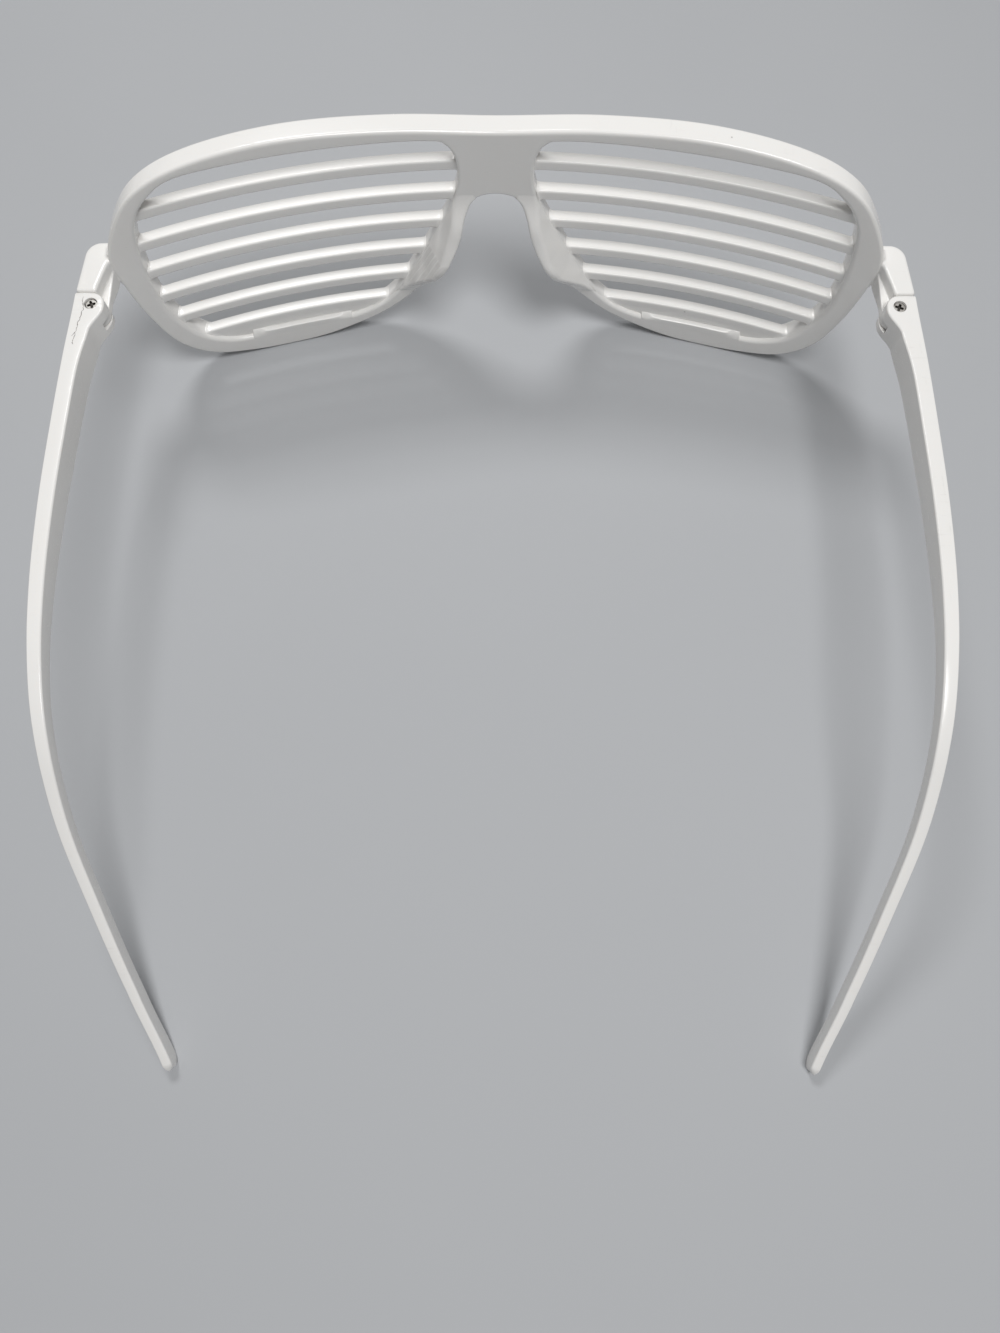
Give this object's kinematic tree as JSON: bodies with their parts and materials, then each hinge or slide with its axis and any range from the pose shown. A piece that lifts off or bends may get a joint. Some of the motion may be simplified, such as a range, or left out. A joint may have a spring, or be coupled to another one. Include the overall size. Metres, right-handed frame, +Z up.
{
  "type": "shutter shade party glasses",
  "caption": "White moulded shutter shades: a wrapped one-piece front with open horizontal slats in place of lenses, and bowed temples that fold inward on vertical hinge screws.",
  "frame": {"origin": "on the ground, below the middle of the overall box of the opened glasses", "axes": "+Z up; the front faces -Y; the temples run back along +Y; the wearer's left is +X; the glasses stand on the lower rims and the temple tips"},
  "size_m": [0.152, 0.1568, 0.0544],
  "materials": {
    "white_plastic": "glossy moulded white",
    "screw_steel": "worn bright steel"
  },
  "bodies": {
    "front": {"brow_and_bridge": "white_plastic", "left_rim": "white_plastic", "right_rim": "white_plastic", "left_slat_1": "white_plastic", "left_slat_2": "white_plastic", "left_slat_3": "white_plastic", "left_slat_4": "white_plastic", "left_slat_5": "white_plastic", "left_slat_6": "white_plastic", "right_slat_1": "white_plastic", "right_slat_2": "white_plastic", "right_slat_3": "white_plastic", "right_slat_4": "white_plastic", "right_slat_5": "white_plastic", "right_slat_6": "white_plastic", "left_lower_web": "white_plastic", "right_lower_web": "white_plastic", "left_nose_pad": "white_plastic", "right_nose_pad": "white_plastic", "left_end_piece": "white_plastic", "right_end_piece": "white_plastic"},
    "left_temple": {"left_temple": "white_plastic", "left_hinge_screw": "screw_steel"},
    "right_temple": {"right_temple": "white_plastic", "right_hinge_screw": "screw_steel"}
  },
  "joints": [
    {"name": "left_hinge", "type": "hinge", "parent": "front", "child": "left_temple", "pos_m": [0.0715, -0.05163, 0.03445], "axis": [0, 0, 1], "range_deg": [0, 87]},
    {"name": "right_hinge", "type": "hinge", "parent": "front", "child": "right_temple", "pos_m": [-0.0715, -0.05163, 0.03445], "axis": [0, 0, 1], "range_deg": [-83, 0]}
  ]
}
